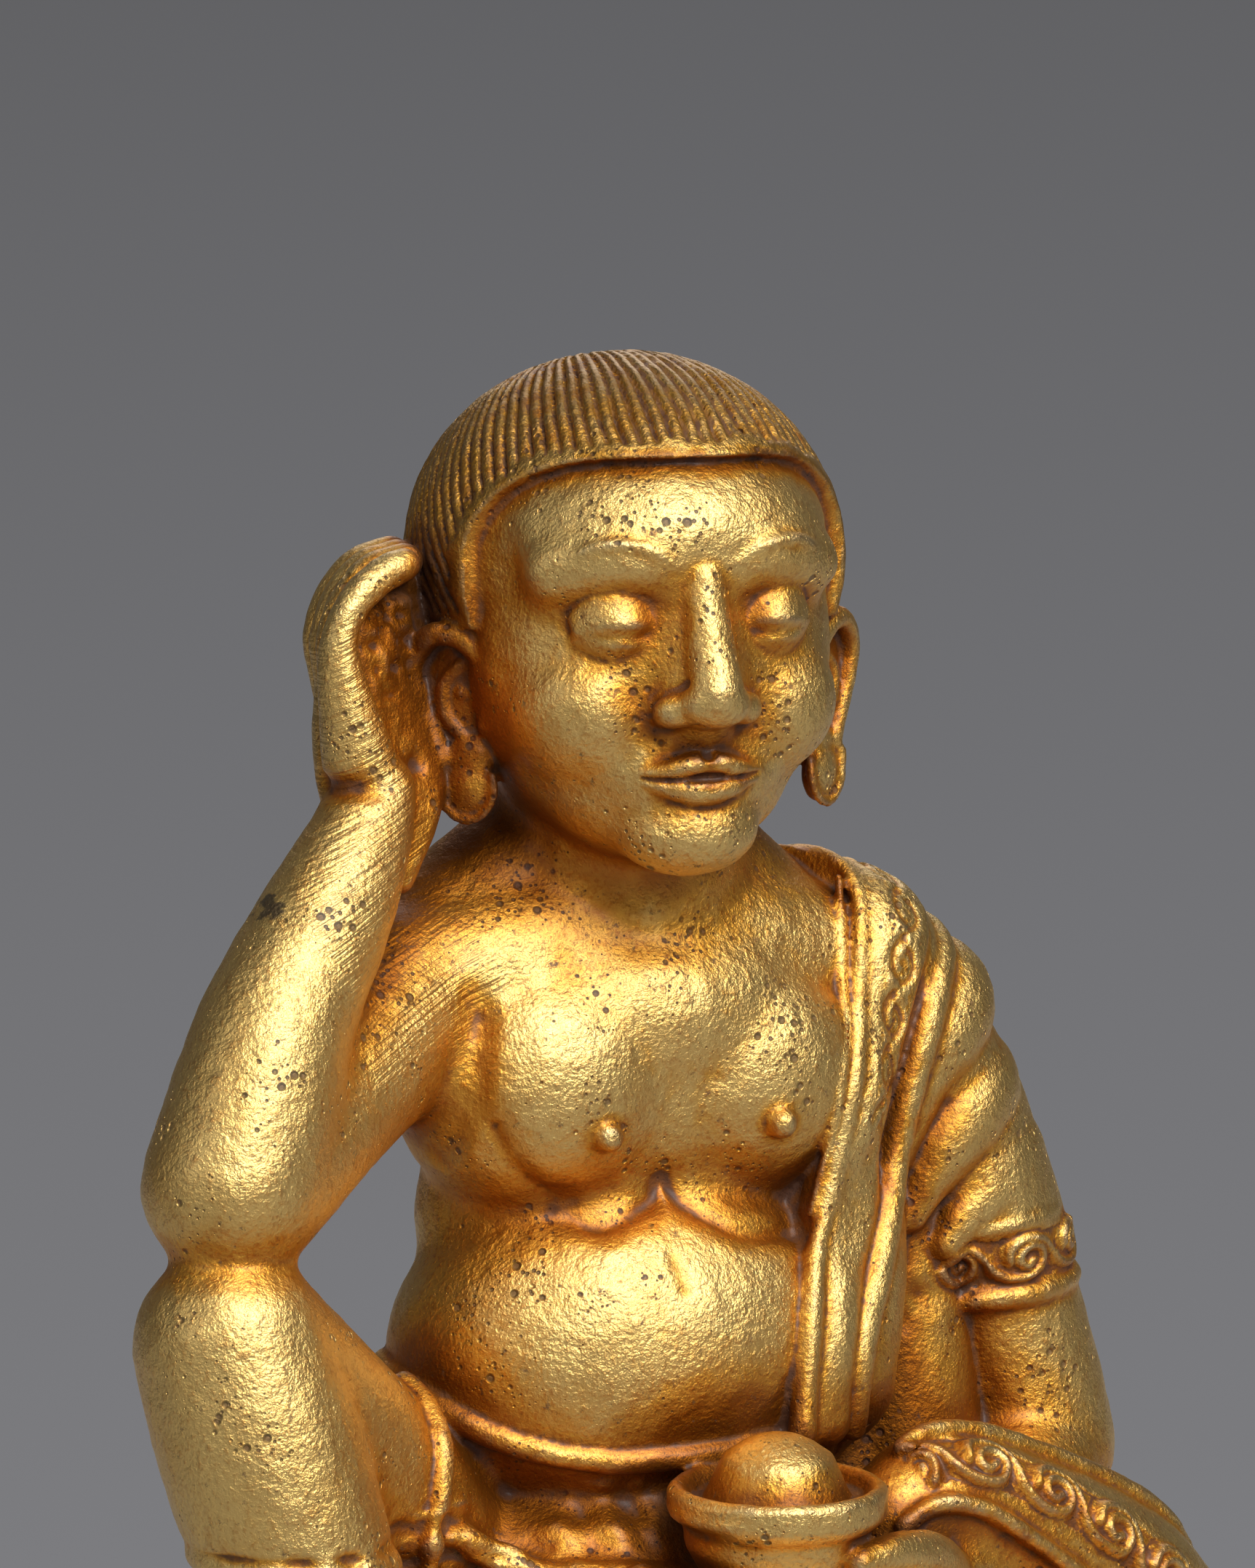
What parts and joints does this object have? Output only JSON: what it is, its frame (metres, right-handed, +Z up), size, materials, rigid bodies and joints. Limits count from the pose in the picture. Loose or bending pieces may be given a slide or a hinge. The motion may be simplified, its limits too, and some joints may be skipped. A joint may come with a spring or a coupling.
{
  "type": "seated figure statue",
  "caption": "Seated figure cast in one piece with its plinth, a hand raised to the ear, a robe over one shoulder and a bowl in the lap.",
  "frame": {"origin": "middle of the plinth's flat underside", "axes": "+Z up through the head, -Y the way the figure faces, +X to the figure's left"},
  "size_m": [0.057, 0.035, 0.0708],
  "materials": {
    "gilt_brass": "worn satin gilding with darker recesses"
  },
  "bodies": {
    "root": {"statue": "gilt_brass"}
  },
  "joints": []
}
